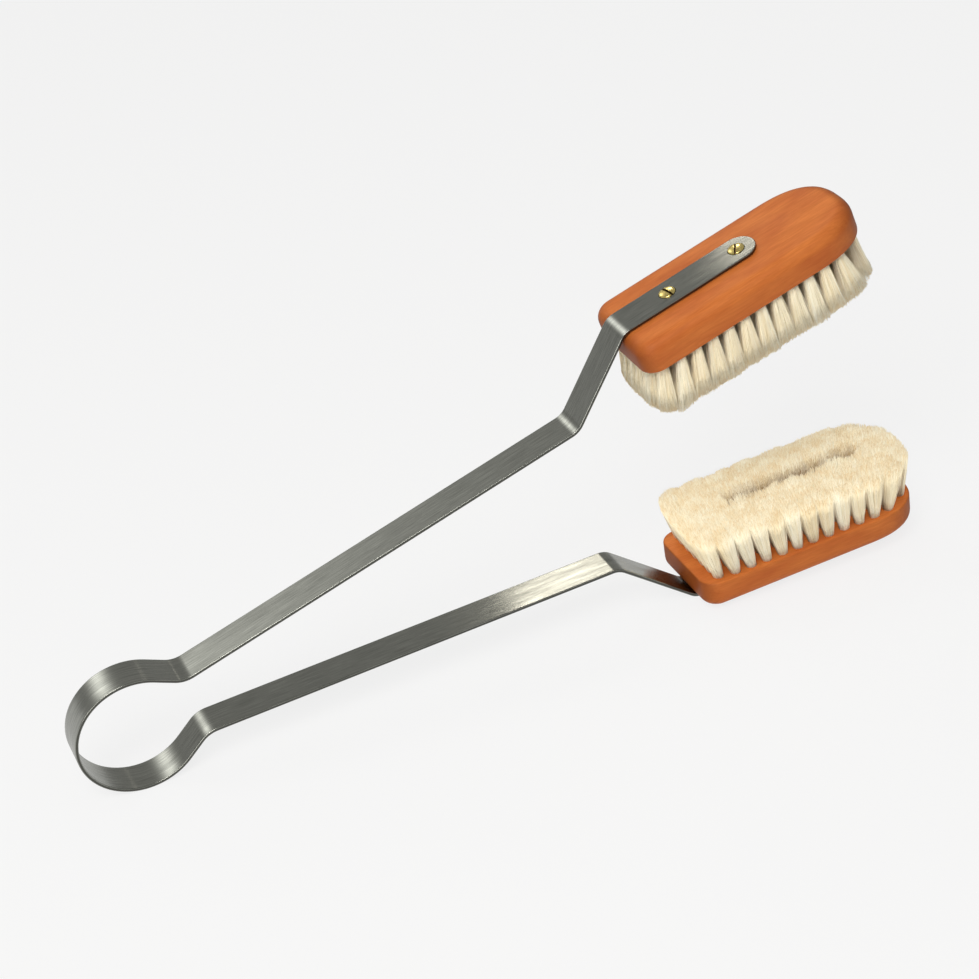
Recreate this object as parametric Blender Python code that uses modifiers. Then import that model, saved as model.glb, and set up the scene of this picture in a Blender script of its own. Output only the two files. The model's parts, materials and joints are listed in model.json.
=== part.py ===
"""Plant dusting brush: spring tongs with a goat-hair brush on each arm.

One flat steel strip is bent into a round loop, a narrow neck, two straight arms and two
cranked tabs. A wooden block is screwed under each tab, and its bristles face the other
brush, so that a leaf is wiped on both sides at once. Squeezing the arms bends the loop.

Metres, +Z up. The tongs stand on the loop and on the bend of the lower tab. Each half is
drawn lying along +X from the back of the loop, with the bristles below its block, and the
lower half is the same drawing turned over.
"""
import bpy
import bmesh
import math
from mathutils import Matrix, Vector

# Steel strip
strip_width = 0.016
strip_thickness = 0.0015
loop_radius = 0.0262
neck_leg = 0.0131
neck_rise = 0.0146
arm_length = 0.1906
arm_angle = math.radians(7.05)
crank_length = 0.0457
crank_angle = math.radians(47.7)
tab_length = 0.0683
tab_angle = math.radians(7.23)
neck_bend_radius = 0.0110
crank_bend_radius = 0.0090
tab_bend_radius = 0.0080
tab_round_share = 0.98

# Clearances between separate pieces
seat_gap = 0.0003
half_gap = 0.0003
slice_gap = 0.0003
slice_end_gap = 0.0006
screw_gap = 0.0004
cut_overrun = 0.002

# Screws
screw_head_diameter = 0.0072
screw_shank_diameter = 0.0038
screw_length = 0.0095
screw_point_length = 0.003
screw_dome_height = 0.0010
screw_slot_width = 0.0013
screw_slot_depth = 0.0008
rear_screw_place = 0.0255
front_screw_place = 0.0598
slot_turns = {
    "upper_rear": math.radians(101),
    "upper_front": math.radians(57),
    "lower_rear": math.radians(64),
    "lower_front": math.radians(-15),
}

# Wooden block, measured along the tab from its bend
block_rear = -0.0019
block_length = 0.1123
block_width = 0.0475
block_thickness = 0.0135
block_corner_radius = 0.0084
block_nose_length = 0.030
block_nose_power = 2.6
block_back_round = 0.0054
block_face_ease = 0.0010

# Tufts, measured at the face of the block
pocket_depth = 0.0030
pocket_rim = 0.0012
tuft_rear_margin = 0.0089
tuft_side_margin = 0.0043
tuft_spacing = 0.0080
tuft_row_count = 7
tuft_diameter = 0.0050
tuft_length = 0.020
tuft_root = 0.0014
tuft_tip_width = 0.0076
tuft_clearance = 0.0003
strand_sides = 4
strand_width_share = 0.45
strand_place_shares = ((0.0, 0.265), (-0.275, -0.255), (0.275, -0.255))
tip_rear_overhang = 0.0017
tip_front_overhang = -0.0002
tip_side_overhang = 0.0042
centre_rear_tufts = 3
centre_front_tufts = 3
outer_slice_trim = 0.0006

# Fineness of the curves
loop_steps = 22
bend_steps = 5
nose_steps = 12
corner_steps = 5
round_steps = 24
band_steps = 4

# Distances that only tell equal points and flat faces from others
weld_distance = 1e-6
merge_distance = 1e-5
flat_angle = math.radians(0.5)


# Scene, materials and small helpers

def clear_scene():
    for item in list(bpy.data.objects):
        bpy.data.objects.remove(item, do_unlink=True)


def new_collection(name):
    group = bpy.data.collections.new(name)
    bpy.context.scene.collection.children.link(group)
    return group


def make_material(name, colour, metallic, roughness):
    material = bpy.data.materials.new(name)
    material.use_nodes = True
    shader = material.node_tree.nodes["Principled BSDF"]
    shader.inputs["Base Color"].default_value = (*colour, 1.0)
    shader.inputs["Metallic"].default_value = metallic
    shader.inputs["Roughness"].default_value = roughness
    material.diffuse_color = (*colour, 1.0)
    return material


def add_empty(name, parent, location, rotation):
    empty = bpy.data.objects.new(name, None)
    parts.objects.link(empty)
    empty.parent = parent
    empty.location = location
    empty.rotation_euler = rotation
    return empty


def add_part(name, mesh, material, parent):
    item = bpy.data.objects.new(name, mesh)
    parts.objects.link(item)
    item.parent = parent
    item.data.materials.append(material)
    return item


def add_cutter(name, mesh, parent):
    item = bpy.data.objects.new(name, mesh)
    cutters.objects.link(item)
    item.parent = parent
    item.hide_render = True
    item.display_type = "WIRE"
    return item


def boolean(item, tool, operation):
    change = item.modifiers.new(operation.lower() + " " + tool.name, "BOOLEAN")
    change.operation = operation
    change.solver = "EXACT"
    change.object = tool


def curve_mesh(name, points, closed, half_depth, height=0.0):
    """Mesh of a flat curve through (x, y) points, drawn out by half_depth on both sides."""
    curve = bpy.data.curves.new(name, "CURVE")
    curve.dimensions = "2D"
    curve.fill_mode = "BOTH" if closed else "NONE"
    curve.extrude = half_depth
    spline = curve.splines.new("POLY")
    spline.points.add(len(points) - 1)
    for knot, (x, y) in zip(spline.points, points):
        knot.co = (x, y, 0.0, 1.0)
    spline.use_cyclic_u = closed
    source = bpy.data.objects.new(name, curve)
    bpy.context.scene.collection.objects.link(source)
    graph = bpy.context.evaluated_depsgraph_get()
    mesh = bpy.data.meshes.new_from_object(source.evaluated_get(graph))
    bpy.data.objects.remove(source, do_unlink=True)
    shape = bmesh.new()
    shape.from_mesh(mesh)
    bmesh.ops.remove_doubles(shape, verts=shape.verts, dist=weld_distance)
    if closed:
        bmesh.ops.dissolve_limit(shape, angle_limit=flat_angle, verts=shape.verts, edges=shape.edges)
    bmesh.ops.translate(shape, verts=shape.verts, vec=(0.0, 0.0, height))
    shape.to_mesh(mesh)
    shape.free()
    return mesh


def turned_mesh(name, profile):
    """Mesh of a profile of (radius, height) points, from the top of its axis to the bottom."""
    mesh = bpy.data.meshes.new(name)
    edges = [(i, i + 1) for i in range(len(profile) - 1)]
    mesh.from_pydata([(radius, 0.0, height) for radius, height in profile], edges, [])
    return mesh


def add_turning(item):
    turn = item.modifiers.new("turn", "SCREW")
    turn.angle = 2 * math.pi
    turn.steps = round_steps
    turn.render_steps = round_steps
    turn.use_merge_vertices = True
    turn.merge_threshold = merge_distance
    turn.use_normal_calculate = True


# Geometry of one half, worked out from the named sizes

def along(angle):
    return Vector((math.cos(angle), math.sin(angle)))


def side_of(angle):
    """Unit vector square to a run of strip, on the side away from the other half."""
    return Vector((-math.sin(angle), math.cos(angle)))


loop_centre = Vector((loop_radius, 0.0))
neck_reach = math.sqrt(loop_radius ** 2 + neck_leg ** 2 - neck_rise ** 2)
neck_corner = loop_centre + Vector((neck_reach, neck_rise))
crank_corner = neck_corner + along(arm_angle) * arm_length
tab_corner = crank_corner + along(crank_angle) * crank_length
tab_end = tab_corner + along(tab_angle) * tab_length


def loop_tangent_angle():
    """Angle, seen from the loop's centre, where the straight leg to the neck leaves the loop."""
    to_neck = neck_corner - loop_centre
    return math.atan2(to_neck.y, to_neck.x) + math.atan2(neck_leg, loop_radius)


def bend_arc(before, corner, after, radius, steps):
    """Points of the arc that rounds a corner, and the arc's centre."""
    back = (before - corner).normalized()
    ahead = (after - corner).normalized()
    half = back.angle(ahead) / 2
    centre = corner + (back + ahead).normalized() * (radius / math.sin(half))
    reach = radius / math.tan(half)
    first = corner + back * reach - centre
    last = corner + ahead * reach - centre
    sweep = first.angle_signed(last)
    points = []
    for i in range(steps + 1):
        turn = -sweep * i / steps
        c, s = math.cos(turn), math.sin(turn)
        points.append(centre + Vector((first.x * c - first.y * s, first.x * s + first.y * c)))
    return points, centre


def strip_midline():
    """The strip's middle line in one half, from the back of the loop to the end of the tab."""
    first = math.pi - math.asin(half_gap / 2 / loop_radius)
    last = loop_tangent_angle()
    points = [loop_centre + along(first + (last - first) * i / loop_steps) * loop_radius
              for i in range(loop_steps + 1)]
    leg_start = points[-1]
    points += bend_arc(leg_start, neck_corner, crank_corner, neck_bend_radius, bend_steps)[0]
    points += bend_arc(neck_corner, crank_corner, tab_corner, crank_bend_radius, bend_steps)[0]
    points += bend_arc(crank_corner, tab_corner, tab_end, tab_bend_radius, bend_steps)[0]
    points.append(tab_end)
    return points


def standing_tilt():
    """Angle that lays the loop and the bend of the lower tab on one level surface."""
    centre = bend_arc(crank_corner, tab_corner, tab_end, tab_bend_radius, bend_steps)[1]
    between = centre - loop_centre
    loop_outside = loop_radius + strip_thickness / 2
    bend_outside = tab_bend_radius + strip_thickness / 2
    return math.atan2(between.y, between.x) + math.asin((bend_outside - loop_outside) / between.length)


def brush_seat():
    """Where the line of the tab's inner face starts, under the corner of the tab."""
    return tab_corner - side_of(tab_angle) * strip_thickness / 2


def standing_place():
    """Shift that puts the middle of the footprint at the origin and the lowest point at zero."""
    tilt = standing_tilt()
    rise = tilt - tab_angle
    loop_outside = loop_radius + strip_thickness / 2
    seat = brush_seat()
    seat_x = seat.x * math.cos(tilt) + seat.y * math.sin(tilt)
    nose_x = seat_x + (block_rear + block_length) * math.cos(rise) - block_back_round * math.sin(rise)
    rear_x = loop_radius * math.cos(tilt) - loop_outside
    lowest = loop_radius * math.sin(tilt) - loop_outside
    return Vector((-(nose_x + rear_x) / 2, 0.0, -lowest))


# Outline of the block

def front_reach(across, inset=0.0):
    """How far forward the outline runs at a distance from the middle line."""
    half_width = block_width / 2 - inset
    nose = block_nose_length - inset
    share = min(abs(across) / half_width, 1.0)
    start = block_rear + block_length - block_nose_length
    return start + nose * (1.0 - share ** block_nose_power) ** (1.0 / block_nose_power)


def rear_reach(across, inset=0.0):
    """How far back the outline runs at a distance from the middle line."""
    half_width = block_width / 2 - inset
    radius = max(block_corner_radius - inset, inset)
    past = max(abs(across) - (half_width - radius), 0.0)
    return block_rear + inset + radius - math.sqrt(max(radius ** 2 - past ** 2, 0.0))


def block_outline(inset=0.0):
    half_width = block_width / 2 - inset
    radius = max(block_corner_radius - inset, inset)
    side = []
    for i in range(corner_steps + 1):
        angle = math.pi / 2 * i / corner_steps
        across = half_width - radius + radius * math.sin(angle)
        side.append((block_rear + inset + radius * (1 - math.cos(angle)), across))
    for i in range(1, nose_steps + 1):
        angle = math.pi / 2 * (1 - i / nose_steps)
        across = half_width * math.sin(angle) ** (2 / block_nose_power)
        side.append((front_reach(across, inset), across))
    return side + [(x, -y) for x, y in reversed(side[:-1])]


# Steel arms and screws

def make_arm(half):
    midline = [(point.x, point.y) for point in strip_midline()]
    mesh = curve_mesh(half.name + " strip", midline, False, strip_width / 2)
    arm = add_part(half.name + "_spring_arm", mesh, steel, half.empty)
    arm.rotation_euler = (math.pi / 2, 0.0, 0.0)
    end = [v.index for v in mesh.vertices if (Vector(v.co[:2]) - tab_end).length < weld_distance]
    arm.vertex_groups.new(name="tab end").add(end, 1.0, "REPLACE")
    round_end = arm.modifiers.new("round end", "BEVEL")
    round_end.affect = "VERTICES"
    round_end.limit_method = "VGROUP"
    round_end.vertex_group = "tab end"
    round_end.width = strip_width / 2 * tab_round_share
    round_end.segments = corner_steps + 1
    wall = arm.modifiers.new("wall", "SOLIDIFY")
    wall.thickness = strip_thickness
    wall.offset = 0.0
    wall.use_even_offset = True
    for tool in half.screw_holes:
        boolean(arm, tool, "DIFFERENCE")
    return arm


def screw_profile(grow):
    """Raised countersunk wood screw, from the crown of its head to its point."""
    head = screw_head_diameter / 2
    shank = screw_shank_diameter / 2
    cone = head - shank
    crown = [(head * math.sin(math.pi / 2 * i / bend_steps),
              screw_dome_height * math.cos(math.pi / 2 * i / bend_steps))
             for i in range(bend_steps + 1)]
    if grow:
        top = screw_dome_height + cut_overrun
        wide = head + grow
        return [(0.0, top), (wide, top), (wide, 0.0), (shank + grow, -cone),
                (shank + grow, -screw_length - grow), (0.0, -screw_length - grow)]
    return crown + [(shank, -cone), (shank, screw_point_length - screw_length), (0.0, -screw_length)]


def make_screw(half, end, place):
    name = half.name + "_" + end
    screw = add_part(name + "_screw", turned_mesh(name + " screw", screw_profile(0.0)), brass, half.seat)
    screw.location = (place, 0.0, strip_thickness)
    screw.rotation_euler = (0.0, 0.0, slot_turns[name])
    add_turning(screw)
    shape = bmesh.new()
    bmesh.ops.create_cube(shape, size=1.0)
    size = (screw_head_diameter + cut_overrun, screw_slot_width, screw_slot_depth + cut_overrun)
    bmesh.ops.scale(shape, vec=size, verts=shape.verts)
    lift = screw_dome_height - screw_slot_depth + size[2] / 2
    bmesh.ops.translate(shape, vec=(0.0, 0.0, lift), verts=shape.verts)
    mesh = bpy.data.meshes.new(name + " slot")
    shape.to_mesh(mesh)
    shape.free()
    slot = add_cutter(name + " slot", mesh, half.seat)
    slot.location = screw.location
    slot.rotation_euler = screw.rotation_euler
    boolean(screw, slot, "DIFFERENCE")
    return screw


def make_screw_hole(half, end, place):
    name = half.name + " " + end + " screw hole"
    hole = add_cutter(name, turned_mesh(name, screw_profile(screw_gap)), half.seat)
    hole.location = (place, 0.0, strip_thickness)
    add_turning(hole)
    return hole


# Wooden blocks

def make_block(half):
    middle = -seat_gap - block_thickness / 2
    mesh = curve_mesh(half.name + " block", block_outline(), True, block_thickness / 2, middle)
    shape = bmesh.new()
    shape.from_mesh(mesh)
    weight = shape.edges.layers.float.new("bevel_weight_edge")
    for edge in shape.edges:
        heights = [v.co.z - middle for v in edge.verts]
        if min(heights) > 0:
            edge[weight] = 1.0
        elif max(heights) < 0:
            edge[weight] = block_face_ease / block_back_round
    shape.to_mesh(mesh)
    shape.free()
    block = add_part(half.name + "_block", mesh, wood, half.seat)
    ease = block.modifiers.new("rounded edges", "BEVEL")
    ease.limit_method = "WEIGHT"
    ease.width = block_back_round
    ease.segments = corner_steps - 1
    depth = pocket_depth + cut_overrun
    face = -seat_gap - block_thickness
    pocket_mesh = curve_mesh(half.name + " pocket", block_outline(pocket_rim), True, depth / 2,
                             face + pocket_depth - depth / 2)
    boolean(block, add_cutter(half.name + " pocket", pocket_mesh, half.seat), "DIFFERENCE")
    for tool in half.screw_holes:
        boolean(block, tool, "DIFFERENCE")
    return block


# Bristles

def row_middle(row):
    """Distance of a row of tufts from the middle line."""
    spread = block_width - 2 * tuft_side_margin
    return spread * (row / (tuft_row_count - 1) - 0.5)


def row_pitch():
    return (block_width - 2 * tuft_side_margin) / (tuft_row_count - 1)


def square_in_tuft():
    """Side of the square of strands that fits in the round hole of a tuft."""
    return tuft_diameter / math.sqrt(2)


def row_play():
    """How far a tuft can stand beside its row's middle line and still be on its slice."""
    return max((row_pitch() - slice_gap - square_in_tuft()) / 2, 0.0)


def tuft_side_limit(x):
    """Half width, at a place along the block, of the area that holds tufts."""
    half_width = block_width / 2 - tuft_side_margin
    nose = block_nose_length - tuft_side_margin
    past = max(x - (block_rear + block_length - block_nose_length), 0.0) / nose
    return half_width * max(1.0 - past ** block_nose_power, 0.0) ** (1.0 / block_nose_power)


def row_end(middle):
    """How far forward a row runs before the rounded nose would push its tufts off their slice."""
    room = max(abs(middle) - row_play(), 0.0)
    half_width = block_width / 2 - tuft_side_margin
    nose = block_nose_length - tuft_side_margin
    start = block_rear + block_length - block_nose_length
    return start + nose * (1.0 - (room / half_width) ** block_nose_power) ** (1.0 / block_nose_power)


def tuft_places(row):
    """Centres of a row's tufts on the face of the block, tucked in at the block's corners."""
    middle = row_middle(row)
    first = block_rear + tuft_rear_margin
    last = row_end(middle)
    count = round((last - first) / tuft_spacing) + 1
    places = []
    for i in range(count):
        x = first + (last - first) * i / (count - 1)
        limit = tuft_side_limit(x)
        y = max(-limit, min(limit, middle))
        if i == 0 and row in (0, tuft_row_count - 1):
            y -= math.copysign(row_play(), y)
        places.append((x, y))
    if row == tuft_row_count // 2:
        places = places[:centre_rear_tufts] + places[-centre_front_tufts:]
    return places


def tip_place(x, y):
    """Where the tip of a hair that is rooted at (x, y) stands: the tufts flare outwards."""
    tuft_tip = tuft_tip_width / 2
    root_rear = block_rear + tuft_rear_margin
    root_front = block_rear + block_length - tuft_side_margin
    tip_rear = block_rear - tip_rear_overhang + tuft_tip
    tip_front = block_rear + block_length + tip_front_overhang - tuft_tip
    share = (x - root_rear) / (root_front - root_rear)
    spread = (block_width / 2 + tip_side_overhang - tuft_tip) / (block_width / 2 - tuft_side_margin)
    return tip_rear + (tip_front - tip_rear) * share, y * spread


def crowding(place, others, width):
    """Share of its full width that a tuft keeps, so that it stays clear of the others."""
    room = [max(abs(place[0] - x), abs(place[1] - y)) for x, y in others if (x, y) != place]
    return min(1.0, min(room) / (width + tuft_clearance))


def add_strand(shape, root, tip, root_width, tip_width, top, bottom):
    """One tapered bundle of hair, from its root in the backing down to the trimmed tip face."""
    made = bmesh.ops.create_cone(shape, cap_ends=True, segments=strand_sides,
                                 radius1=tip_width / math.sqrt(2), radius2=root_width / math.sqrt(2),
                                 depth=top - bottom, matrix=Matrix.Rotation(math.pi / 4, 4, "Z"))
    for vertex in made["verts"]:
        centre = root if vertex.co.z > 0 else tip
        vertex.co.x += centre[0]
        vertex.co.y += centre[1]
        vertex.co.z += (top + bottom) / 2


def strand_mesh(name, row):
    face = -seat_gap - block_thickness
    roots = [place for other in range(tuft_row_count) for place in tuft_places(other)]
    tips = [tip_place(x, y) for x, y in roots]
    shape = bmesh.new()
    for index, root in enumerate(tuft_places(row)):
        tip = tip_place(*root)
        root_width = square_in_tuft() * crowding(root, roots, square_in_tuft())
        tip_width = tuft_tip_width * crowding(tip, tips, tuft_tip_width)
        turned = 1 if (index + row) % 2 else -1
        for across, up in strand_place_shares:
            low = (root[0] + across * root_width, root[1] + up * turned * root_width)
            high = (tip[0] + across * tip_width, tip[1] + up * turned * tip_width)
            add_strand(shape, low, high, root_width * strand_width_share,
                       tip_width * strand_width_share, face + tuft_root, face - tuft_length)
    mesh = bpy.data.meshes.new(name)
    shape.to_mesh(mesh)
    shape.free()
    return mesh


def slice_outline(row):
    """Outline of the slice of backing that carries one row, inside the block's pocket."""
    inset = pocket_rim + slice_end_gap
    half_width = block_width / 2 - inset
    middle = row_middle(row)
    low = middle - (row_pitch() - slice_gap) / 2
    high = middle + (row_pitch() - slice_gap) / 2
    if row == 0:
        low = -half_width + outer_slice_trim
    if row == tuft_row_count - 1:
        high = half_width - outer_slice_trim
    levels = [low + (high - low) * i / band_steps for i in range(band_steps + 1)]
    front = [(front_reach(y, inset), y) for y in levels]
    rear = [(rear_reach(y, inset), y) for y in reversed(levels)]
    return front + rear


def make_row(half, row):
    name = half.name + "_tuft_row_" + str(row + 1)
    depth = pocket_depth - slice_gap
    face = -seat_gap - block_thickness
    mesh = curve_mesh(name + " backing", slice_outline(row), True, depth / 2, face + depth / 2)
    backing = add_part(name, mesh, hair, half.seat)
    strands = add_cutter(name + " strands", strand_mesh(name + " strands", row), half.seat)
    boolean(backing, strands, "UNION")
    return backing


# The two halves and the whole

class Half:
    """Everything that is placed with one arm of the tongs."""

    def __init__(self, name, parent, rotation):
        self.name = name
        self.empty = add_empty(name + " half, turns about the back of the loop", parent,
                               (0.0, 0.0, 0.0), rotation)
        seat = brush_seat()
        self.seat = add_empty(name + " brush seat", self.empty, (seat.x, 0.0, seat.y),
                              (0.0, -tab_angle, 0.0))
        self.screw_holes = [make_screw_hole(self, "rear", rear_screw_place),
                            make_screw_hole(self, "front", front_screw_place)]


def build_half(name, stand, rotation):
    half = Half(name, stand, rotation)
    make_arm(half)
    make_block(half)
    make_screw(half, "rear", rear_screw_place)
    make_screw(half, "front", front_screw_place)
    for row in range(tuft_row_count):
        make_row(half, row)


def build():
    stand = add_empty("standing place", None, standing_place(), (0.0, -standing_tilt(), 0.0))
    build_half("lower", stand, (math.pi, 0.0, 0.0))
    build_half("upper", stand, (0.0, 0.0, 0.0))


clear_scene()
parts = new_collection("plant dusting brush")
cutters = new_collection("cutters")
steel = make_material("brushed stainless steel", (0.42, 0.41, 0.37), 1.0, 0.38)
wood = make_material("oiled pearwood", (0.52, 0.19, 0.065), 0.0, 0.42)
brass = make_material("brass", (0.72, 0.55, 0.20), 1.0, 0.28)
hair = make_material("goat hair", (0.80, 0.72, 0.55), 0.0, 0.85)
build()
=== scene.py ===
# Looks of the plant dusting brush: spring tongs bent from one flat steel strip, with a
# goat-hair brush screwed to each arm. Everything is in metres, +Z up, in the frame's place.
import bmesh
import bpy
import json
import math
from functools import partial
from mathutils import Matrix, Vector


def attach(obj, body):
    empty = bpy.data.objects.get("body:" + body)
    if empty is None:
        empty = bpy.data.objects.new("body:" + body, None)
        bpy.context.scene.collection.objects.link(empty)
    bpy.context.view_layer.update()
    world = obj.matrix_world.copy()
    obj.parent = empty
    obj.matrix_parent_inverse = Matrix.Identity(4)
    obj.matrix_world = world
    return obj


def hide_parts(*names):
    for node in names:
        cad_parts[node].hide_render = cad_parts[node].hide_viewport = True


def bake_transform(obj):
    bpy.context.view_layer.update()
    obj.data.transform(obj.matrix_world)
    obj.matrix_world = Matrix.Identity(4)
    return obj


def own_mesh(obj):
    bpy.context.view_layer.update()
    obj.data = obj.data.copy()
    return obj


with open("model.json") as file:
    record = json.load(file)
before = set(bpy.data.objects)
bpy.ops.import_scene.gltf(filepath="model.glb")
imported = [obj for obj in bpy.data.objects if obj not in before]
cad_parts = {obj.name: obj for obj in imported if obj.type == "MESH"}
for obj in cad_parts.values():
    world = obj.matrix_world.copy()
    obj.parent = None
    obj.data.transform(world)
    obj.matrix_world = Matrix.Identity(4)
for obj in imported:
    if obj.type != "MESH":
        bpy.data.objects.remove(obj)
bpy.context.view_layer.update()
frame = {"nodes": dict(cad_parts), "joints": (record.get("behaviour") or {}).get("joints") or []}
mm = 0.001
weld = 0.001 * mm  # points closer than this are one
print("frame loaded:", len(frame["nodes"]), "nodes")


# Colours, nodes and finished meshes

def linear(hexColour):
    channels = [int(hexColour[i:i + 2], 16) / 255 for i in (1, 3, 5)]
    return (*[c / 12.92 if c <= 0.04045 else ((c + 0.055) / 1.055) ** 2.4 for c in channels], 1.0)


def addNode(tree, kind, sockets=None, **settings):
    # a socket takes a plain value, an output, or a node, which stands for its first output in use
    node = tree.nodes.new(kind)
    for name, value in settings.items():
        setattr(node, name, value)
    for name, value in (sockets or {}).items():
        if isinstance(value, bpy.types.Node):
            value = next(output for output in value.outputs if output.enabled)
        if isinstance(value, bpy.types.NodeSocket):
            tree.links.new(value, node.inputs[name])
        else:
            node.inputs[name].default_value = value
    return node


def maths(tree, operation, *values):
    return addNode(tree, "ShaderNodeMath", dict(enumerate(values)), operation=operation)


def vectors(tree, operation, *values):
    return addNode(tree, "ShaderNodeVectorMath", dict(enumerate(values)), operation=operation)


def noise(tree, place, size, detail, roughness=0.5, distortion=0.0, dimensions="3D"):
    # size: the length of its features along each axis
    scale = [1 / length for length in size]
    stretched = addNode(tree, "ShaderNodeMapping", {"Scale": scale, "Vector": place})
    return addNode(tree, "ShaderNodeTexNoise",
                   {"Scale": 1.0, "Detail": detail, "Roughness": roughness, "Distortion": distortion,
                    "Vector": stretched}, noise_dimensions=dimensions)


def ranged(tree, value, low, high, toLow=0.0, toHigh=1.0, **settings):
    return addNode(tree, "ShaderNodeMapRange", {"Value": value, "From Min": low, "From Max": high,
                                                "To Min": toLow, "To Max": toHigh}, **settings)


def mixed(tree, share, first, second):  # of colours, as hex text or as nodes
    first, second = (linear(colour) if isinstance(colour, str) else colour for colour in (first, second))
    return addNode(tree, "ShaderNodeMix", {"Factor": share, "A": first, "B": second}, data_type="RGBA")


def attribute(tree, name):
    return addNode(tree, "ShaderNodeAttribute", attribute_name=name).outputs["Fac"]


def newMaterial(name):
    material = bpy.data.materials.new(name)
    material.use_nodes = True
    material.node_tree.nodes.clear()
    return material, material.node_tree


def coat(tree, sockets):
    shader = addNode(tree, "ShaderNodeBsdfPrincipled", sockets)
    addNode(tree, "ShaderNodeOutputMaterial", {"Surface": shader})


def withAttribute(tree, geometry, name, value, kind="FLOAT", domain="POINT"):
    return addNode(tree, "GeometryNodeStoreNamedAttribute",
                   {"Geometry": geometry, "Name": name, "Value": value}, data_type=kind, domain=domain)


def newTree(name, values):  # geometry nodes with an input for each named value
    tree = bpy.data.node_groups.new(name, "GeometryNodeTree")
    tree.interface.new_socket("Geometry", in_out="INPUT", socket_type="NodeSocketGeometry")
    for socket, value in values.items():
        kind = {int: "Int", float: "Float", tuple: "Vector"}[type(value)]
        tree.interface.new_socket(socket, in_out="INPUT", socket_type="NodeSocket" + kind)
    tree.interface.new_socket("Geometry", in_out="OUTPUT", socket_type="NodeSocketGeometry")
    return tree, addNode(tree, "NodeGroupInput").outputs


def endTree(tree, geometry, material):
    coated = addNode(tree, "GeometryNodeSetMaterial", {"Geometry": geometry, "Material": material})
    addNode(tree, "NodeGroupOutput", {"Geometry": coated})
    return tree


def newPiece(name, mesh, material):
    piece = bpy.data.objects.new(name, mesh)
    bpy.context.scene.collection.objects.link(piece)
    if not mesh.materials:
        mesh.materials.append(material)
    return piece


def plainMesh(piece, name):  # what the modifiers make of a piece, as a mesh of its own
    graph = bpy.context.evaluated_depsgraph_get()
    mesh = bpy.data.meshes.new_from_object(piece.evaluated_get(graph), depsgraph=graph)
    mesh.name = name
    return mesh


def grownMesh(mesh, tree, values, material, name):  # what geometry nodes make of a mesh
    source = newPiece("source", mesh, material)
    growth = source.modifiers.new("growth", "NODES")
    growth.node_group = tree
    for item in tree.interface.items_tree:
        if item.name in values:
            growth[item.identifier] = values[item.name]
    grown = plainMesh(source, name)
    bpy.data.objects.remove(source)
    return grown


def shadeSmooth(mesh, degrees):
    mesh.shade_smooth()
    mesh.set_sharp_from_angle(angle=math.radians(degrees))


def quarterTurn(steps):  # angles from 0 to 90 degrees, both included
    return [math.pi / 2 * i / steps for i in range(steps + 1)]


# Line of the bent strip, the same in both halves, as in the frame's arms

strip = {
    "width": 16 * mm,
    "thickness": 1.5 * mm,
    "edgeRound": 0.32 * mm,       # rolled and tumbled edge
    "loopRadius": 26.2 * mm,      # all radii and corners are those of the strip's middle line
    "neckLeg": 13.1 * mm,
    "neckRise": 14.6 * mm,
    "armLength": 190.6 * mm,
    "armAngle": math.radians(7.05),
    "crankLength": 45.7 * mm,
    "crankAngle": math.radians(47.7),
    "tabLength": 68.3 * mm,
    "tabAngle": math.radians(7.23),
    "neckBendRadius": 11 * mm,
    "crankBendRadius": 9 * mm,
    "tabBendRadius": 8 * mm,
    "loopSteps": 72,
    "bendSteps": 12,
    "roundEndSteps": 16,
    "edgeSteps": 3,
    "sharpFrom": 32,              # degrees
}


def ahead(angle):
    return Vector((math.cos(angle), math.sin(angle)))


def outward(angle):
    return Vector((-math.sin(angle), math.cos(angle)))


loopCentre = Vector((strip["loopRadius"], 0))
neckReach = math.sqrt(strip["loopRadius"] ** 2 + strip["neckLeg"] ** 2 - strip["neckRise"] ** 2)
neckCorner = loopCentre + Vector((neckReach, strip["neckRise"]))
crankCorner = neckCorner + ahead(strip["armAngle"]) * strip["armLength"]
tabCorner = crankCorner + ahead(strip["crankAngle"]) * strip["crankLength"]
tabEnd = tabCorner + ahead(strip["tabAngle"]) * strip["tabLength"]
loopLeave = neckCorner - loopCentre
legAngle = (math.atan2(loopLeave.y, loopLeave.x) + math.atan2(strip["neckLeg"], strip["loopRadius"])
            - math.pi / 2)


def bend(corner, before, after, radius):
    # places and headings along the arc that rounds a corner of the line
    turn = math.copysign(1, after - before)
    reach = radius * math.tan(abs(after - before) / 2)
    centre = corner - ahead(before) * reach + outward(before) * radius * turn
    steps = strip["bendSteps"]
    headings = [before + (after - before) * i / steps for i in range(steps + 1)]
    return [(centre - outward(h) * radius * turn, h) for h in headings], centre


def halfLine():
    # places and headings from the back of the loop to where the tab's round end starts
    steps = strip["loopSteps"] // 2
    headings = [math.pi / 2 + (legAngle - math.pi / 2) * i / steps for i in range(steps + 1)]
    line = [(loopCentre + outward(h) * strip["loopRadius"], h) for h in headings]
    line += bend(neckCorner, legAngle, strip["armAngle"], strip["neckBendRadius"])[0]
    line += bend(crankCorner, strip["armAngle"], strip["crankAngle"], strip["crankBendRadius"])[0]
    line += bend(tabCorner, strip["crankAngle"], strip["tabAngle"], strip["tabBendRadius"])[0]
    line.append((tabEnd - ahead(strip["tabAngle"]) * strip["width"] / 2, strip["tabAngle"]))
    return line


def standingTilt():
    # the loop and the bend of the lower tab stand on one level surface
    bendCentre = bend(tabCorner, strip["crankAngle"], strip["tabAngle"], strip["tabBendRadius"])[1]
    between = bendCentre - loopCentre
    drop = strip["tabBendRadius"] - strip["loopRadius"]
    return math.atan2(between.y, between.x) + math.asin(drop / between.length)


# Places of the two halves and of the brushes on them

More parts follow.
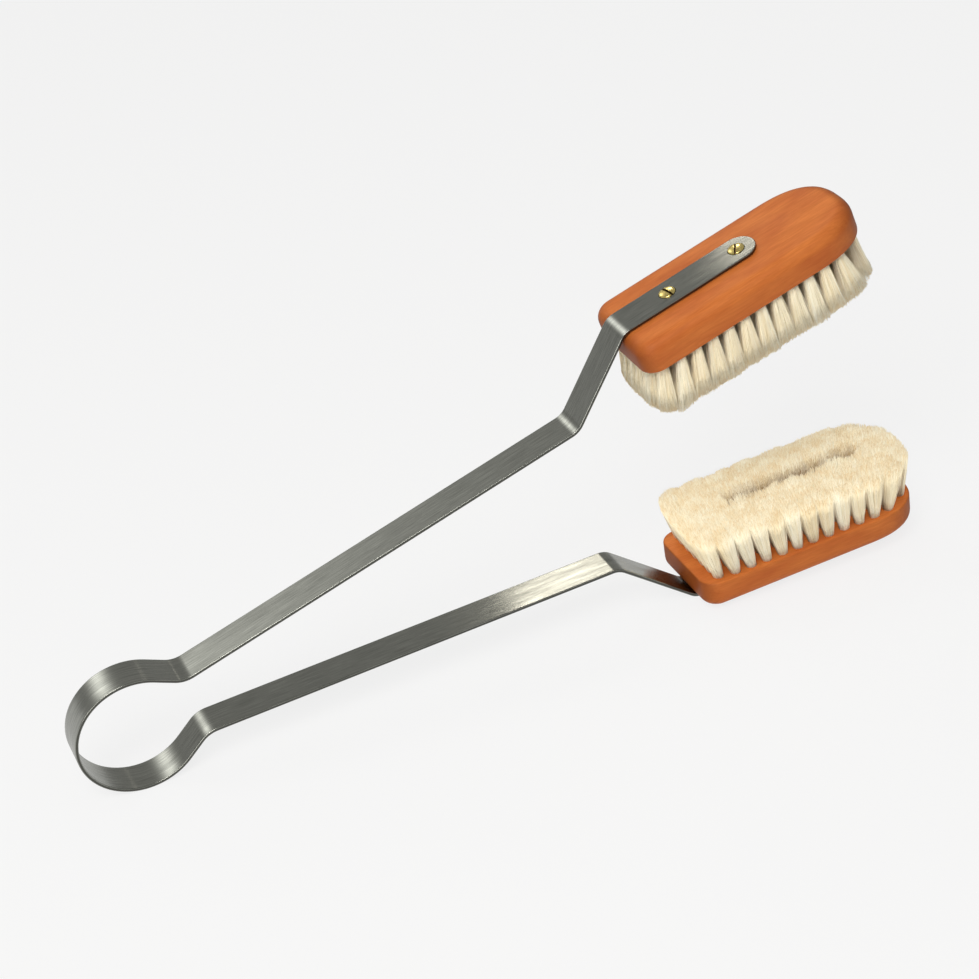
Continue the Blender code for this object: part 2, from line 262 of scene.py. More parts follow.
hinge = Vector(frame["joints"][0]["pos_m"])
stand = Matrix.Translation(hinge) @ Matrix.Rotation(-standingTilt(), 4, "Y")
halfPlace = {"upper": stand, "lower": stand @ Matrix.Rotation(math.pi, 4, "X")}
seat = tabCorner - outward(strip["tabAngle"]) * strip["thickness"] / 2
seatMove = Matrix.Translation((seat.x, 0, seat.y))
seatTurn = Matrix.Rotation(-strip["tabAngle"], 4, "Y")
seatPlace = {half: place @ seatMove @ seatTurn for half, place in halfPlace.items()}


# Brushed stainless steel: cold-rolled strip, ground lengthwise, so that it has fine straight
# lines along it and soft reflections that are drawn out across it. Its slit edges are painted
# darker: painted shade that stands for a dark reflection.
def makeSteel():
    steel, tree = newMaterial("brushed stainless steel")
    place = addNode(tree, "ShaderNodeUVMap", uv_map="along and across")
    # real grinding lines are finer than this
    grain = noise(tree, place, (14 * mm, 0.5 * mm, 1), 4.0, 0.7, dimensions="2D")
    cloud = noise(tree, place, (35 * mm, 4 * mm, 1), 2.0, dimensions="2D")
    ground = mixed(tree, ranged(tree, grain, 0.3, 0.7), "#7d7e78", "#9fa099")
    bump = addNode(tree, "ShaderNodeBump", {"Strength": 0.15, "Distance": 0.02 * mm, "Height": grain})
    # the slit edges, marked rim, take a darker colour: painted shade that stands for a dark reflection
    coat(tree, {
        "Base Color": mixed(tree, attribute(tree, "rim"), ground, "#53534e"),
        "Metallic": 1.0,
        "Anisotropic": 0.85,
        "Anisotropic Rotation": 0.25,
        "Roughness": ranged(tree, cloud, 0.3, 0.7, 0.2, 0.27),
        "Normal": bump,
        "Tangent": addNode(tree, "ShaderNodeTangent", direction_type="UV_MAP", uv_map="along and across"),
    })
    return steel


screwPlaces = {"rear": 25.5 * mm, "front": 59.8 * mm}  # along the tab from its bend

screw = {
    "headWidth": 7.2 * mm,
    "shankWidth": 3.8 * mm,
    "length": 9.5 * mm,
    "pointLength": 3 * mm,
    "domeHeight": 1.0 * mm,
    "rimHeight": 0.18 * mm,
    "slotWidth": 1.05 * mm,
    "slotDepth": 0.9 * mm,
    "holeGap": 0.25 * mm,
    "sides": 48,
    "domeSteps": 10,
    "sharpFrom": 30,              # degrees
    "slotTurns": {"upper": (101, 57), "lower": (64, -15)},  # degrees, rear and front screw
}


def turned(profile, sides, place):
    # closed bmesh of a profile of (radius, height) points, from the top of its axis down
    shape = bmesh.new()
    knots = [shape.verts.new((radius, 0, height)) for radius, height in profile]
    edges = [shape.edges.new(pair) for pair in zip(knots, knots[1:])]
    bmesh.ops.spin(shape, geom=knots + edges, cent=(0, 0, 0), axis=(0, 0, 1), angle=2 * math.pi,
                   steps=sides, use_merge=True)
    bmesh.ops.remove_doubles(shape, verts=shape.verts, dist=weld)
    bmesh.ops.recalc_face_normals(shape, faces=shape.faces)
    bmesh.ops.transform(shape, matrix=place, verts=shape.verts)
    return shape


def screwHole(half, end):
    head = screw["headWidth"] / 2 + screw["holeGap"]
    shank = screw["shankWidth"] / 2 + screw["holeGap"]
    top = 3 * screw["domeHeight"]  # well clear of the strip
    bottom = -screw["length"] - screw["holeGap"]
    profile = [(0, top), (head, top), (head, 0), (shank, shank - head), (shank, bottom), (0, bottom)]
    place = seatPlace[half] @ Matrix.Translation((screwPlaces[end], 0, strip["thickness"]))
    return turned(profile, screw["sides"], place)


def joined(shapes, name):
    # one mesh of several bmeshes that don't touch
    whole = bmesh.new()
    for shape in shapes:
        part = bpy.data.meshes.new("part")
        shape.to_mesh(part)
        shape.free()
        whole.from_mesh(part)
        bpy.data.meshes.remove(part)
    mesh = bpy.data.meshes.new(name)
    whole.to_mesh(mesh)
    whole.free()
    return mesh


def cut(piece, cutterMesh):
    cutter = bpy.data.objects.new("cutter", cutterMesh)
    bpy.context.scene.collection.objects.link(cutter)
    change = piece.modifiers.new("cut", "BOOLEAN")
    change.operation = "DIFFERENCE"
    change.solver = "EXACT"
    change.object = cutter
    mesh = plainMesh(piece, piece.name)
    piece.modifiers.clear()
    piece.data = mesh
    bpy.data.objects.remove(cutter)


def sectionRing():
    # (inset from the edge, height) round one edge of the strip, from its outer to its inner face
    half, ease = strip["thickness"] / 2, strip["edgeRound"]
    turns = quarterTurn(strip["edgeSteps"])
    corner = [(ease * (1 - math.sin(a)), half - ease * (1 - math.cos(a))) for a in turns]
    ring = [(2 * ease, half)] + corner
    return ring + [(inset, -height) for inset, height in reversed(ring)]


def makeStrip(steel):
    upper = halfLine()
    line = [(point, heading, 1) for point, heading in reversed(upper)]
    line += [(point, heading, -1) for point, heading in upper[1:]]
    lengths = [0]
    for (a, _, sideA), (b, _, sideB) in zip(line, line[1:]):
        lengths.append(lengths[-1] + (Vector((a.x, a.y * sideA)) - Vector((b.x, b.y * sideB))).length)
    stations = [(*station, length, None) for station, length in zip(line, lengths)]
    first, last = stations[0], stations[-1]
    turns = quarterTurn(strip["roundEndSteps"])[1:]
    stations = [(*first[:4], turn) for turn in reversed(turns)] + stations
    stations += [(*last[:4], turn) for turn in turns]
    ring = sectionRing()
    around = [(1, inset, height) for inset, height in ring]
    around += [(-1, inset, height) for inset, height in reversed(ring)]
    shape = bmesh.new()
    uvLayer = shape.loops.layers.uv.new("along and across")
    # marks the faces of the slit edges for painted shade
    edgeShadeLayer = shape.faces.layers.float.new("rim")
    slitEdge = range(len(ring) // 2 - 1, len(ring) // 2)  # the flat facet between the two rounds
    rows, spread = [], {}
    for point, heading, side, length, turn in stations:
        row = []
        for edge, inset, height in around:
            reach = strip["width"] / 2 - inset
            forward = reach * math.sin(turn) if turn else 0
            across = reach * (math.cos(turn) if turn else 1) * edge
            place = point + ahead(heading) * forward + outward(heading) * height
            knot = shape.verts.new(stand @ Vector((place.x, across, place.y * side)))
            spread[knot] = (length + forward * (-side), across + edge * (strip["thickness"] / 2 - height))
            row.append(knot)
        rows.append(row)
    count = len(around)
    for a, b in zip(rows, rows[1:]):
        for i in range(count):
            face = shape.faces.new((a[i], a[(i + 1) % count], b[(i + 1) % count], b[i]))
            face[edgeShadeLayer] = float(i in slitEdge or count - 2 - i in slitEdge)
            for loop in face.loops:
                loop[uvLayer].uv = spread[loop.vert]
    bmesh.ops.remove_doubles(shape, verts=shape.verts, dist=weld)
    bmesh.ops.dissolve_degenerate(shape, edges=shape.edges, dist=weld / 2)
    bmesh.ops.recalc_face_normals(shape, faces=shape.faces)
    piece = newPiece("springStrip", joined([shape], "springStrip"), steel)
    cut(piece, joined([screwHole(half, end) for half in seatPlace for end in screwPlaces], "screw holes"))
    shadeSmooth(piece.data, strip["sharpFrom"])
    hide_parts("upper_spring_arm", "lower_spring_arm")
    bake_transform(piece)
    return piece


steel = makeSteel()
springStrip = makeStrip(steel)
print("strip:", len(springStrip.data.polygons), "faces")


# Wooden blocks

block = {
    "rear": -1.9 * mm,            # from the tab's bend, along the tab
    "length": 112.3 * mm,
    "width": 47.5 * mm,
    "thickness": 13.5 * mm,
    "cornerRadius": 8.4 * mm,
    "leastCorner": 3.36 * mm,     # where the edges round in
    "noseLength": 30 * mm,
    "nosePower": 2.6,
    "backRound": 5.4 * mm,
    "faceEase": 0.7 * mm,
    "seatGap": 0.3 * mm,
    "cornerSteps": 12,
    "noseSteps": 40,
    "roundSteps": 8,
    "easeSteps": 3,
    "sharpFrom": 34,              # degrees
}
faceHeight = -block["seatGap"] - block["thickness"]
blockFront = block["rear"] + block["length"]
noseStart = blockFront - block["noseLength"]


def noseReach(across, halfWidth, nose):
    share = min(abs(across) / halfWidth, 1)
    return noseStart + nose * (1 - share ** block["nosePower"]) ** (1 / block["nosePower"])


def blockOutline(inset):
    halfWidth = block["width"] / 2 - inset
    nose = block["noseLength"] - inset
    radius = max(block["cornerRadius"] - inset, block["leastCorner"])
    side = [(block["rear"] + inset + radius * (1 - math.cos(a)), halfWidth - radius * (1 - math.sin(a)))
            for a in quarterTurn(block["cornerSteps"])]
    for i in range(1, block["noseSteps"] + 1):
        angle = math.pi / 2 * (1 - i / block["noseSteps"])
        across = halfWidth * math.sin(angle) ** (2 / block["nosePower"])
        side.append((noseReach(across, halfWidth, nose), across))
    return side + [(x, -y) for x, y in reversed(side[:-1])]


# Bristles: rows of round tufts that flare from their holes to a trimmed, nearly closed face

tufts = {
    "rearMargin": 8.9 * mm,
    "sideMargin": 4.3 * mm,
    "spacing": 8.0 * mm,
    "rows": 7,
    "holeWidth": 4.4 * mm,
    "holeDepth": 6 * mm,
    "holeSides": 20,
    "rowPlay": 1.32 * mm,         # how far a tuft leaves its row's middle at the nose and corners
    "centreRear": 3,              # tufts of the middle row behind and before its long gap
    "centreFront": 3,
    "length": 20 * mm,
    "tipRearOverhang": 1.5 * mm,
    "tipFrontOverhang": -0.2 * mm,
    "tipSideOverhang": 1.0 * mm,
    "tipWidth": 7.6 * mm,
    "tipHalfLength": 4.2 * mm,    # each tuft's share of the trimmed face, along and across
    "tipHalfWidth": 4.2 * mm,
    "grooveWidth": 0.6 * mm,      # inner rows lean over the long gap of the middle row
    "grooveRear": 25 * mm,
    "grooveFront": 88 * mm,
    "endReach": 2.4 * mm,         # the last tufts of a row spread on, to the rounded outline
    "faceNose": 32 * mm,          # rounded lengths of the trimmed face at its two ends
    "faceRear": 12 * mm,
    "facePower": 2.8,
    "faceFeather": 0.07,          # how softly its outline ends, as a share of its width
}
rowsSide = block["width"] / 2 - tufts["sideMargin"]
rowsNose = block["noseLength"] - tufts["sideMargin"]


def tuftLimit(x):
    # how far from the middle a tuft may stand
    share = min(max(x - noseStart, 0) / rowsNose, 1)
    return rowsSide * (1 - share ** block["nosePower"]) ** (1 / block["nosePower"])


def tuftPlaces(row):
    middle = 2 * rowsSide * (row / (tufts["rows"] - 1) - 0.5)
    first = block["rear"] + tufts["rearMargin"]
    last = noseReach(max(abs(middle) - tufts["rowPlay"], 0), rowsSide, rowsNose)
    count = round((last - first) / tufts["spacing"]) + 1
    places = []
    for i in range(count):
        x = first + (last - first) * i / (count - 1)
        limit = tuftLimit(x)
        y = max(-limit, min(limit, middle))
        if i == 0 and row in (0, tufts["rows"] - 1):
            y -= math.copysign(tufts["rowPlay"], y)
        places.append((x, y))
    if row == tufts["rows"] // 2:
        places = places[:tufts["centreRear"]] + places[-tufts["centreFront"]:]
    return places


def tipPlace(x, y):
    # the tips spread evenly from the area of the holes to that of the trimmed face
    tip = tufts["tipWidth"] / 2
    rootRear = block["rear"] + tufts["rearMargin"]
    rootFront = blockFront - tufts["sideMargin"]
    tipRear = block["rear"] - tufts["tipRearOverhang"] + tip
    tipFront = blockFront + tufts["tipFrontOverhang"] - tip
    spread = (block["width"] / 2 + tufts["tipSideOverhang"] - tip) / rowsSide
    return tipRear + (tipFront - tipRear) * (x - rootRear) / (rootFront - rootRear), y * spread


def tipCell(row, x, y, last):
    # middle and half size of the area that a tuft's tips fill
    along, across = tipPlace(x, y)
    halfLength, halfWidth = tufts["tipHalfLength"], tufts["tipHalfWidth"]
    if last:
        along += tufts["endReach"]
        halfLength += tufts["endReach"]
    beside = abs(row - tufts["rows"] // 2) == 1
    if beside and tufts["grooveRear"] < x < tufts["grooveFront"]:
        outerSide = abs(across) + halfWidth
        halfWidth = (outerSide - tufts["grooveWidth"] / 2) / 2
        across = math.copysign(outerSide - halfWidth, across)
    return (along, across, 0), (halfLength, halfWidth, 0)


# Oiled pearwood: dense, even, orange-brown wood with a fine straight grain, sanded and oiled
# to a satin sheen.
def makePearwood(half):
    wood, tree = newMaterial("oiled pearwood, " + half)
    place = addNode(tree, "ShaderNodeTexCoord").outputs
    turn = seatPlace[half].inverted()
    moved, rotated = turn.to_translation(), turn.to_euler()
    local = addNode(tree, "ShaderNodeMapping", {"Location": moved, "Rotation": rotated,
                                                "Vector": place["Object"]})  # x runs along the block
    grain = noise(tree, local, (7 * mm, 0.6 * mm, 0.6 * mm), 5.0, 0.6)
    figure = noise(tree, local, (34 * mm, 8 * mm, 8 * mm), 3.0, 0.55, 0.35)
    patches = noise(tree, local, (26 * mm, 26 * mm, 26 * mm), 2.0)
    base = mixed(tree, ranged(tree, figure, 0.3, 0.7), "#bb622d", "#d67d3c")
    fine = mixed(tree, ranged(tree, grain, 0.35, 0.65, 0.3, 0.0), base, "#94481a")
    # end grain at the nose and the rear takes up more oil and shows darker, deepened by painted shade;
    # the long sides are a little darker by painted shade alone, by the way they face
    facing = addNode(tree, "ShaderNodeMapping", {"Rotation": rotated, "Vector": place["Normal"]},
                     vector_type="VECTOR")
    endGrainAndShade = vectors(tree, "LENGTH", vectors(tree, "MULTIPLY", facing, (0.82, 0.28, 0)))
    bump = addNode(tree, "ShaderNodeBump", {"Strength": 0.2, "Distance": 0.05 * mm, "Height": grain})
    coat(tree, {
        "Base Color": mixed(tree, endGrainAndShade, fine, "#70330a"),
        "IOR": 1.5,
        "Specular IOR Level": 0.15,
        "Roughness": ranged(tree, patches, 0.3, 0.7, 0.45, 0.56),
        "Normal": bump,
    })
    return wood


def tuftHole(place, x, y):
    shape = bmesh.new()
    lift = tufts["holeDepth"] / 4  # the cutter starts a quarter of its length outside the wood
    middle = place @ Matrix.Translation((x, y, faceHeight + lift))
    radius = tufts["holeWidth"] / 2
    bmesh.ops.create_cone(shape, cap_ends=True, segments=tufts["holeSides"], radius1=radius,
                          radius2=radius, depth=tufts["holeDepth"], matrix=middle)
    return shape


def makeBlock(half):
    back, ease, thick = block["backRound"], block["faceEase"], block["thickness"]
    levels = [(back + mm, 0)]  # inset from the outline, depth below the back
    for a in quarterTurn(block["roundSteps"]):
        levels.append((back * (1 - math.sin(a)), back * (1 - math.cos(a))))
    for a in quarterTurn(block["easeSteps"]):
        levels.append((ease * (1 - math.cos(a)), thick - ease * (1 - math.sin(a))))
    levels.append((ease + mm, thick))
    shape = bmesh.new()
    rings = [[shape.verts.new((x, y, -block["seatGap"] - drop)) for x, y in blockOutline(inset)]
             for inset, drop in levels]
    for a, b in zip(rings, rings[1:]):
        for i in range(len(a)):
            shape.faces.new((a[i - 1], a[i], b[i], b[i - 1]))
    shape.faces.new(rings[0])
    shape.faces.new(rings[-1])
    bmesh.ops.recalc_face_normals(shape, faces=shape.faces)
    bmesh.ops.transform(shape, matrix=seatPlace[half], verts=shape.verts)
    piece = newPiece(half + "Block", joined([shape], half + "Block"), makePearwood(half))
    holes = [tuftHole(seatPlace[half], x, y) for row in range(tufts["rows"]) for x, y in tuftPlaces(row)]
    holes += [screwHole(half, end) for end in screwPlaces]
    cut(piece, joined(holes, "holes"))
    shadeSmooth(piece.data, block["sharpFrom"])
    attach(piece, half + "_half")
    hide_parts(half + "_block")
    return piece


for half in seatPlace:
    piece = makeBlock(half)
    print(piece.name + ":", len(piece.data.polygons), "faces")


# Goat hair: undyed, washed and cut flat: near white along the hair, creamier at the cut ends, and
# in locks of slightly different tone, which shows as fine streaks on the sides and mottling on top;
# the shorter locks are made darker as painted shade in the low places. Hairs deep in the brush,
# between tufts and in the groove take a dark tan of painted shade.
def makeGoatHair():
    fibre, tree = newMaterial("goat hair")
    tone = attribute(tree, "hairToneAndShade")
    shaft = mixed(tree, tone, "#f2e2bc", "#fffdf0")
    cutEnd = mixed(tree, tone, "#dfbf84", "#fffae6")
    length = mixed(tree, ranged(tree, attribute(tree, "upHair"), 0.92, 1.0), shaft, cutEnd)
    coat(tree, {
        # painted shade: the dark tan deep in the brush, between tufts, in the groove and on the cores
        "Base Color": mixed(tree, attribute(tree, "paintedShade"), length, "#86622d"),
        "Roughness": 0.6,
        "IOR": 1.55,
        "Specular IOR Level": 0.3,
    })
    return fibre


hair = {
    "perTuft": 480,
    "width": 0.26 * mm,           # several real hairs, which are finer than the render can show
    "tipTaper": 0.8,              # width at the tip against the root
    "rings": 3,
    "sides": 3,
    "seed": 7,
    "tuftSeeds": 17,              # from one tuft's seed to the next
    "rootSpread": 2.1 * mm,
    "squareness": 0.62,           # how much a tuft's tips fill the corners of their area
    "bow": 0.9 * mm,
    "stray": 2.0 * mm,            # how far the few hairs that stand away from their tuft do so
    "strayPower": 40,
    "sunk": 1.5 * mm,
    "length": tufts["length"] + 7.3 * mm,  # brought down by the losses below
    "lengthLoss": 2.4 * mm,       # of single hairs
    "tuftLoss": 1.2 * mm,         # of whole tufts
    "lockSize": 1.1 * mm,         # hairs keep together in locks
    "lockLoss": 0.8 * mm,
    "lumpSize": 3.6 * mm,         # and the trimmed face is uneven, most of all across
    "lumpStretch": 2.2,
    "lumpLoss": 1.3 * mm,
    "edgeLoss": 3.8 * mm,         # at its outline, so that its edge is rounded
    "edgePower": 6,
    "grooveDepth": 5.5 * mm,      # where hairs lean in over the long gap
    "grooveReach": 6.0 * mm,
    "grooveLeast": 0.75,          # of that reach, where the face is highest
    "grooveMore": 0.5,            # added to it where the face is lowest
    "grooveAside": -1.7 * mm,
    "grooveSteepness": 1.15,      # of its near wall against its far one
    "groovePower": 1.2,
    "grooveEnds": 4 * mm,         # over which it runs out
    "deepFrom": 0.96,             # of the way out to the outline, where the inside starts
    "deepTo": 0.82,               # and where hairs are fully inside
    "rootShade": 0.85,            # painted shade on hairs deep inside, darker towards the wood
    "rootFade": 1.3,
    "flankFrom": 0.45,            # of the way out of a tuft, where its flanks start
    "flankShade": 0.6,            # painted shade on them, darker towards the wood too
    "flankFade": 0.7,
    "endTurn": 8 * mm,            # how far past the straight sides a flank faces the end
    "sideTurn": 12 * mm,          # and how far from the middle it faces the side
}
toneAndShadeShares = {"hair": 0.25, "lock": 0.35, "lump": 0.3, "tuft": 0.2}  # shares of a hair's tone: at random, and painted shade where locks, lumps and tufts are shorter
face = {  # outline of the trimmed face, and where its sides run straight
    "halfWidth": block["width"] / 2 + tufts["tipSideOverhang"],
    "straightRear": block["rear"] - tufts["tipRearOverhang"] + tufts["faceRear"],
    "straightFront": blockFront + tufts["tipFrontOverhang"] - tufts["faceNose"],
    **{name: tufts[name] for name in ("faceNose", "faceRear", "facePower", "faceFeather")},
}
hairInputs = {**hair, **face, "grooveRear": tufts["grooveRear"], "grooveFront": tufts["grooveFront"]}
core = {
    "share": 0.75,                # of the tuft's width, up to this share of its height
    "height": 0.55,
    "shade": 0.8,
    "sides": 12,
    "sharpFrom": 50,              # degrees
}
goldenShare = 0.618034            # steps of this size spread evenly, and look unordered


def hairTree(material):
    # Each point of the mesh is a tuft. It becomes many hairs, each a thin tapered tube whose
    # own place runs from the tuft's hole to its share of the trimmed face.
    tree, given = newTree("tufts of hair", hairInputs)
    plus, minus, times, over, power, least, most, absolute = (partial(maths, tree, kind) for kind in (
        "ADD", "SUBTRACT", "MULTIPLY", "DIVIDE", "POWER", "MINIMUM", "MAXIMUM", "ABSOLUTE"))

    def scaled(vector, factor):
        return addNode(tree, "ShaderNodeVectorMath", {0: vector, "Scale": factor}, operation="SCALE")

    def combined(x, y, z=0.0):
        return addNode(tree, "ShaderNodeCombineXYZ", {"X": x, "Y": y, "Z": z})

    def split(vector):
        return addNode(tree, "ShaderNodeSeparateXYZ", {"Vector": vector}).outputs

    def stored(name, kind="FLOAT"):
        return addNode(tree, "GeometryNodeInputNamedAttribute", {"Name": name}, data_type=kind)

    def random(low, high, shift):
        return addNode(tree, "FunctionNodeRandomValue",
                       {"Min": low, "Max": high, "ID": order, "Seed": plus(tuftSeed, shift)})

    tuftSeed = plus(times(stored("tuftOrder"), given["tuftSeeds"]), given["seed"])
    tuftTone = stored("tuftTone")
    duplicate = addNode(tree, "GeometryNodeDuplicateElements",
                        {"Geometry": given["Geometry"], "Amount": given["perTuft"]}, domain="POINT")
    order = duplicate.outputs["Duplicate Index"]
    # an even spiral over the round hole, jittered a little
    goldenTurn = math.pi * (3 - math.sqrt(5))
    share = maths(tree, "SQRT", over(plus(order, random(0.1, 0.9, 1)), given["perTuft"]))
    turn = plus(times(order, goldenTurn), random(-0.25, 0.25, 2))
    cosine, sine = maths(tree, "COSINE", turn), maths(tree, "SINE", turn)
    disc = combined(times(share, cosine), times(share, sine))
    root = vectors(tree, "MULTIPLY", addNode(tree, "GeometryNodeInputPosition"), (1, 1, 0))
    root = vectors(tree, "ADD", root, scaled(disc, given["rootSpread"]))
    # the tips fill an area between round and square, a few of them past it
    longer = most(absolute(cosine), absolute(sine))
    toCorner = times(given["squareness"], minus(over(1, longer), 1))
    spread = vectors(tree, "MULTIPLY", scaled(disc, plus(1, toCorner)), stored("tipHalf", "FLOAT_VECTOR"))
    tip = vectors(tree, "ADD", stored("tipCentre", "FLOAT_VECTOR"), spread)
    scatter = combined(random(-0.5, 0.5, 3), random(-0.5, 0.5, 4))
    tip = vectors(tree, "ADD", tip, scaled(scatter, given["bow"]))
    astray = times(power(random(0, 1, 9), given["strayPower"]), given["stray"])
    flat = split(vectors(tree, "ADD", tip, scaled(disc, astray)))
    # tips past the rounded outline of the trimmed face are drawn in to it
    middle = most(given["straightRear"], least(flat["X"], given["straightFront"]))
    past = minus(flat["X"], middle)
    lengthShare = most(over(past, given["faceNose"]), over(times(past, -1), given["faceRear"]))
    widthShare = over(absolute(flat["Y"]), given["halfWidth"])
    rim = plus(*[power(part, given["facePower"]) for part in (lengthShare, widthShare)])
    rim = power(rim, over(1, given["facePower"]))
    feather = minus(1, times(given["faceFeather"], random(0, 1, 10)))
    drawIn = least(1, over(feather, rim))
    x, y = plus(middle, times(past, drawIn)), times(flat["Y"], drawIn)
    tip = combined(x, y)
    bowTurn = times(random(0, 1, 5), 2 * math.pi)
    bow = scaled(combined(maths(tree, "COSINE", bowTurn), maths(tree, "SINE", bowTurn)),
                 times(given["bow"], random(-0.6, 0.6, 6)))

    def uneven(place, size):  # steady noise over the trimmed face, about 0 to 1
        cloud = addNode(tree, "ShaderNodeTexNoise", {"Detail": 1.0, "Vector": place, "Scale": over(1, size)},
                        noise_dimensions="2D")
        return ranged(tree, cloud, 0.32, 0.68)

    lock = uneven(tip, given["lockSize"])
    lump = uneven(combined(over(x, given["lumpStretch"]), y), given["lumpSize"])
    # the groove: 1 along its middle, 0 past its walls and its two ends
    aside = minus(y, given["grooveAside"])
    aside = most(aside, times(times(aside, -1), given["grooveSteepness"]))
    reach = times(given["grooveReach"], plus(given["grooveLeast"], times(lump, given["grooveMore"])))
    groove = power(minus(1, least(1, over(aside, reach))), given["groovePower"])
    inEnds = least(minus(x, given["grooveRear"]), minus(given["grooveFront"], x))
    inEnds = least(1, plus(1, over(inEnds, given["grooveEnds"])))
    groove = times(groove, most(0, inEnds))
    length = given["length"]
    for name, loss in (("lengthLoss", power(random(0, 1, 7), 2)), ("tuftLoss", tuftTone),
                       ("lockLoss", lock), ("lumpLoss", lump),
                       ("edgeLoss", power(least(rim, 1), given["edgePower"])),
                       ("grooveDepth", groove)):
        length = minus(length, times(given[name], loss))
    # painted shade: deep inside the brush, on a tuft's flanks towards its neighbours, and in the groove
    deep = ranged(tree, rim, given["deepFrom"], given["deepTo"], interpolation_type="SMOOTHSTEP")
    outX, outY = (over(times(part, absolute(part)), times(size, size))
                  for part, size in ((past, given["endTurn"]), (flat["Y"], given["sideTurn"])))
    facing = vectors(tree, "DOT_PRODUCT", disc, vectors(tree, "NORMALIZE", combined(outX, outY)))
    flank = ranged(tree, minus(share, most(0, facing)), given["flankFrom"], 1.0,
                   interpolation_type="SMOOTHSTEP")
    paintedShade = times(groove, random(0.6, 1.1, 11))
    # a random tone, and painted shade: the shorter a lock, lump or tuft, the darker it is
    tone = times(random(0, 1, 8), toneAndShadeShares["hair"])
    for name, part in (("lock", lock), ("lump", lump), ("tuft", tuftTone)):
        tone = plus(tone, times(minus(1, part), toneAndShadeShares[name]))
    points = duplicate
    for name, value in (("root", root), ("tip", tip), ("bow", bow)):
        points = withAttribute(tree, points, name, value, "FLOAT_VECTOR")
    for name, value in (("hairLength", length), ("hairToneAndShade", tone), ("paintedShade", paintedShade), ("deep", deep),
                        ("flank", flank)):
        points = withAttribute(tree, points, name, value)
    # one hair of unit height: a tube whose rings are at equal steps
    tube = addNode(tree, "GeometryNodeMeshCylinder", {"Radius": 1.0, "Depth": 1.0,
                                                      "Vertices": given["sides"],
                                                      "Side Segments": given["rings"]}, fill_type="NGON")
    lifted = addNode(tree, "GeometryNodeSetPosition", {"Geometry": tube, "Offset": (0, 0, 0.5)})
    atOrigin = addNode(tree, "GeometryNodeSetPosition", {"Geometry": points, "Position": combined(0, 0)})
    copies = addNode(tree, "GeometryNodeInstanceOnPoints", {"Points": atOrigin, "Instance": lifted})
    hairs = addNode(tree, "GeometryNodeRealizeInstances", {"Geometry": copies})
    unit = split(addNode(tree, "GeometryNodeInputPosition"))
    up = unit["Z"]
    below = minus(1, up)
    hairs = withAttribute(tree, hairs, "upHair", up)
    # painted shade of hairs deep inside and on the flanks, darker towards the wood
    shade = stored("paintedShade")
    for name, dark, fade in (("deep", "rootShade", "rootFade"), ("flank", "flankShade", "flankFade")):
        shade = most(shade, times(times(stored(name), given[dark]), power(below, given[fade])))
    hairs = withAttribute(tree, hairs, "paintedShade", shade)
    # each unit hair takes its own width, length, way and bow
    centre = addNode(tree, "ShaderNodeMix", {"Factor": up, "A": stored("root", "FLOAT_VECTOR"),
                                             "B": stored("tip", "FLOAT_VECTOR")}, data_type="VECTOR")
    arch = times(times(up, below), 4)  # 1 at half height
    centre = vectors(tree, "ADD", centre, scaled(stored("bow", "FLOAT_VECTOR"), arch))
    radius = times(times(given["width"], 0.5), minus(1, times(up, minus(1, given["tipTaper"]))))
    height = minus(plus(given["sunk"], faceHeight), times(up, plus(stored("hairLength"), given["sunk"])))
    around = combined(times(unit["X"], radius), times(unit["Y"], radius), height)
    place = vectors(tree, "ADD", centre, around)
    hairs = addNode(tree, "GeometryNodeSetPosition", {"Geometry": hairs, "Position": place})
    hairs = addNode(tree, "GeometryNodeFlipFaces", {"Mesh": hairs})
    for name in ("root", "tip", "bow", "hairLength", "tipCentre", "tipHalf", "tuftOrder", "tuftTone",
                 "deep", "flank"):
        hairs = addNode(tree, "GeometryNodeRemoveAttribute", {"Geometry": hairs, "Name": name})
    return endTree(tree, addNode(tree, "GeometryNodeSetShadeSmooth", {"Geometry": hairs}), material)


def makeHairRow(half, row, tree):
    roots = tuftPlaces(row)
    mesh = bpy.data.meshes.new("tuft places")
    mesh.from_pydata([(x, y, faceHeight) for x, y in roots], [], [])
    cells = [tipCell(row, x, y, i == len(roots) - 1) for i, (x, y) in enumerate(roots)]
    for order, name in enumerate(("tipCentre", "tipHalf")):
        values = [value for cell in cells for value in cell[order]]
        mesh.attributes.new(name, "FLOAT_VECTOR", "POINT").data.foreach_set("vector", values)
    # every tuft of the two brushes has a number of its own
    orders = [i + 20 * row + (200 if half == "upper" else 0) for i in range(len(roots))]
    tones = [order * goldenShare % 1 for order in orders]
    for name, values in (("tuftOrder", orders), ("tuftTone", tones)):
        mesh.attributes.new(name, "FLOAT", "POINT").data.foreach_set("value", values)
    name = half + "TuftRow" + str(row + 1)
    grown = grownMesh(mesh, tree, hairInputs, goatHair, name)
    grown.transform(seatPlace[half])
    piece = newPiece(name, grown, goatHair)
    piece.visible_shadow = False  # light passes between fine hairs and through them
    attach(piece, half + "_half")
    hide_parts(half + "_tuft_row_" + str(row + 1))
    flatten(piece)
    return piece


def flatten(piece):
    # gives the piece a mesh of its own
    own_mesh(piece)


def drawnIn(x, y):
    # as in the tree of the hair: nothing stands past the rounded outline of the trimmed face
    middle = min(max(x, face["straightRear"]), face["straightFront"])
    share = abs(x - middle) / (face["faceNose"] if x > face["straightFront"] else face["faceRear"])
    rim = share ** face["facePower"] + abs(y / face["halfWidth"]) ** face["facePower"]
    inward = min(1, (1 - 2 * face["faceFeather"]) / max(rim, 0.01) ** (1 / face["facePower"]))
    return Vector((middle + (x - middle) * inward, y * inward))


